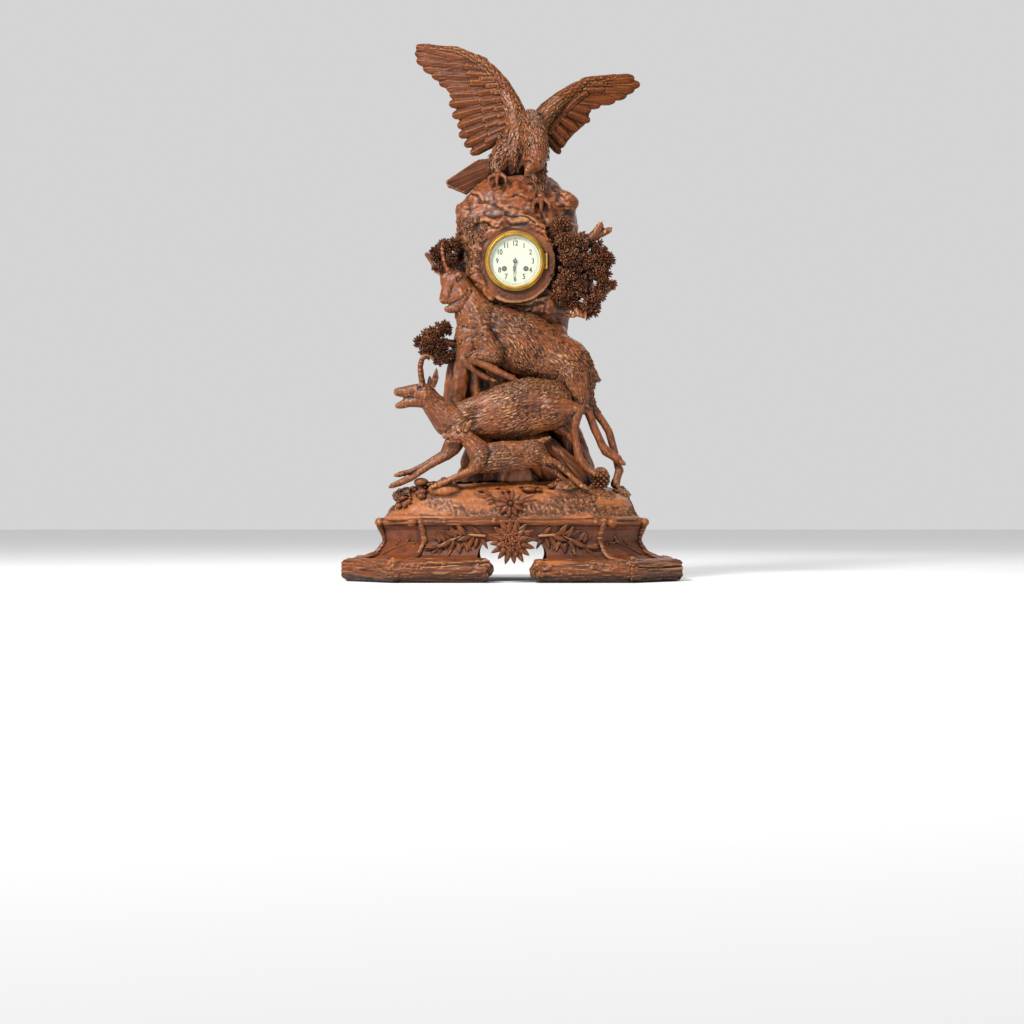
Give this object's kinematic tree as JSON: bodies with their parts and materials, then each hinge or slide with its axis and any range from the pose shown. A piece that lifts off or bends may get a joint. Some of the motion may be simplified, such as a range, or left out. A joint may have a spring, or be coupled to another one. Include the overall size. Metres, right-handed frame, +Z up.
{
  "type": "carved figural clock",
  "caption": "Carved walnut mantel clock: log plinth with an arch, leaping chamois on a rock, an eagle with raised wings on top and a round glazed dial in the rock.",
  "frame": {"origin": "middle of the plinth at the surface it rests on", "axes": "+Z up, -Y out of the dial, +X to the right of someone who reads the dial"},
  "size_m": [0.772, 0.41, 1.241],
  "materials": {
    "carved_walnut": "satin varnish",
    "dark_foliage": "satin varnish over dark stain",
    "plain_walnut": "matt oil",
    "gilt_brass": "lacquered",
    "bell_metal": "turned",
    "blued_steel": "polished",
    "black_steel": "blued nearly black",
    "dial_enamel": "glossy enamel",
    "clear_glass": "clear"
  },
  "bodies": {
    "case": {"plinth_front": "carved_walnut", "plinth_back": "plain_walnut", "plinth_side_left": "carved_walnut", "plinth_side_right": "carved_walnut", "plinth_corner_left": "carved_walnut", "plinth_corner_right": "carved_walnut", "plinth_top_board": "carved_walnut", "base_log_front_left": "carved_walnut", "base_log_front_right": "carved_walnut", "base_logs_corner": "carved_walnut", "base_logs_side": "carved_walnut", "top_twig_border": "carved_walnut", "corner_twigs": "carved_walnut", "leaf_spray_left": "carved_walnut", "leaf_spray_right": "carved_walnut", "centre_flower": "carved_walnut", "mound": "carved_walnut", "mound_flower": "carved_walnut", "pebbles": "dark_foliage", "pine_cone": "dark_foliage", "rock_column": "carved_walnut", "boulder_case": "carved_walnut", "root_log": "carved_walnut", "pine_branch_right": "dark_foliage", "pine_branches_left": "dark_foliage", "broken_branch": "carved_walnut", "buck_body": "carved_walnut", "buck_horns": "dark_foliage", "doe_body": "carved_walnut", "doe_horns": "dark_foliage", "kid_body": "carved_walnut", "eagle_body": "carved_walnut", "eagle_wing_left": "carved_walnut", "eagle_wing_right": "carved_walnut", "eagle_tail": "carved_walnut", "door_hinge": "gilt_brass", "bezel_seat": "gilt_brass", "dial": "dial_enamel", "front_plate": "gilt_brass", "back_plate": "gilt_brass", "pillars": "gilt_brass", "bell": "bell_metal"},
    "bezel": {"bezel": "gilt_brass", "bezel_glass": "clear_glass"},
    "minute_arbor": {"minute_hand": "black_steel", "centre_arbor": "blued_steel"},
    "hour_pipe": {"hour_hand": "black_steel", "hour_wheel": "gilt_brass"},
    "minute_wheel": {"minute_wheel": "gilt_brass"},
    "going_barrel": {"going_barrel": "gilt_brass"},
    "going_arbor": {"going_arbor": "blued_steel"},
    "strike_barrel": {"strike_barrel": "gilt_brass"},
    "strike_arbor": {"strike_arbor": "blued_steel"},
    "third_wheel": {"third_wheel": "gilt_brass"},
    "escape_wheel": {"escape_wheel": "gilt_brass"},
    "anchor": {"anchor": "blued_steel"},
    "pendulum": {"pendulum": "gilt_brass"},
    "hammer": {"hammer": "blued_steel"},
    "back_door": {"back_door": "plain_walnut"},
    "door_button": {"door_button": "gilt_brass"}
  },
  "joints": [
    {"name": "bezel_hinge", "type": "hinge", "parent": "case", "child": "bezel", "pos_m": [0.0785, -0.0846, 0.722], "axis": [0, 0, 1], "range_deg": [0, 95]},
    {"name": "minute_turn", "type": "hinge", "parent": "case", "child": "minute_arbor", "pos_m": [0.007, -0.08, 0.722], "axis": [0, -1, 0], "continuous": true},
    {"name": "hour_turn", "type": "hinge", "parent": "case", "child": "hour_pipe", "pos_m": [0.007, -0.08, 0.722], "axis": [0, -1, 0], "continuous": true},
    {"name": "minute_wheel_turn", "type": "hinge", "parent": "case", "child": "minute_wheel", "pos_m": [0.007, -0.08, 0.734], "axis": [0, -1, 0], "continuous": true},
    {"name": "going_barrel_turn", "type": "hinge", "parent": "case", "child": "going_barrel", "pos_m": [0.0314, -0.08, 0.7052], "axis": [0, -1, 0], "continuous": true},
    {"name": "going_wind", "type": "hinge", "parent": "case", "child": "going_arbor", "pos_m": [0.0314, -0.08, 0.7052], "axis": [0, -1, 0], "range_deg": [-2160, 0]},
    {"name": "strike_barrel_turn", "type": "hinge", "parent": "case", "child": "strike_barrel", "pos_m": [-0.0174, -0.08, 0.7052], "axis": [0, -1, 0], "continuous": true},
    {"name": "strike_wind", "type": "hinge", "parent": "case", "child": "strike_arbor", "pos_m": [-0.0174, -0.08, 0.7052], "axis": [0, -1, 0], "range_deg": [-2160, 0]},
    {"name": "third_turn", "type": "hinge", "parent": "case", "child": "third_wheel", "pos_m": [0.015, -0.08, 0.7406], "axis": [0, -1, 0], "continuous": true},
    {"name": "escape_turn", "type": "hinge", "parent": "case", "child": "escape_wheel", "pos_m": [0.007, -0.08, 0.75258], "axis": [0, -1, 0], "continuous": true},
    {"name": "pendulum_swing", "type": "hinge", "parent": "case", "child": "pendulum", "pos_m": [0.007, -0.08, 0.76648], "axis": [0, -1, 0], "range_deg": [-3, 3]},
    {"name": "anchor_rock", "type": "hinge", "parent": "case", "child": "anchor", "pos_m": [0.007, -0.08, 0.76648], "axis": [0, -1, 0], "range_deg": [-3, 3]},
    {"name": "hammer_swing", "type": "hinge", "parent": "case", "child": "hammer", "pos_m": [-0.037, -0.08, 0.708], "axis": [0, -1, 0], "range_deg": [0, 12]},
    {"name": "door_hinge_turn", "type": "hinge", "parent": "case", "child": "back_door", "pos_m": [-0.0723, 0.1048, 0.662], "axis": [0, 0, 1], "range_deg": [0, 110]},
    {"name": "button_turn", "type": "hinge", "parent": "back_door", "child": "door_button", "pos_m": [0.068, 0.1093, 0.722], "axis": [0, 1, 0], "range_deg": [0, 90]}
  ],
  "couplings": [
    {"joint": "hour_turn", "follows": "minute_turn", "ratio": 0.083333},
    {"joint": "minute_wheel_turn", "follows": "minute_turn", "ratio": -0.33333},
    {"joint": "going_barrel_turn", "follows": "minute_turn", "ratio": -0.13333},
    {"joint": "third_turn", "follows": "minute_turn", "ratio": -8},
    {"joint": "escape_turn", "follows": "minute_turn", "ratio": 64},
    {"joint": "anchor_rock", "follows": "pendulum_swing", "ratio": 1}
  ]
}
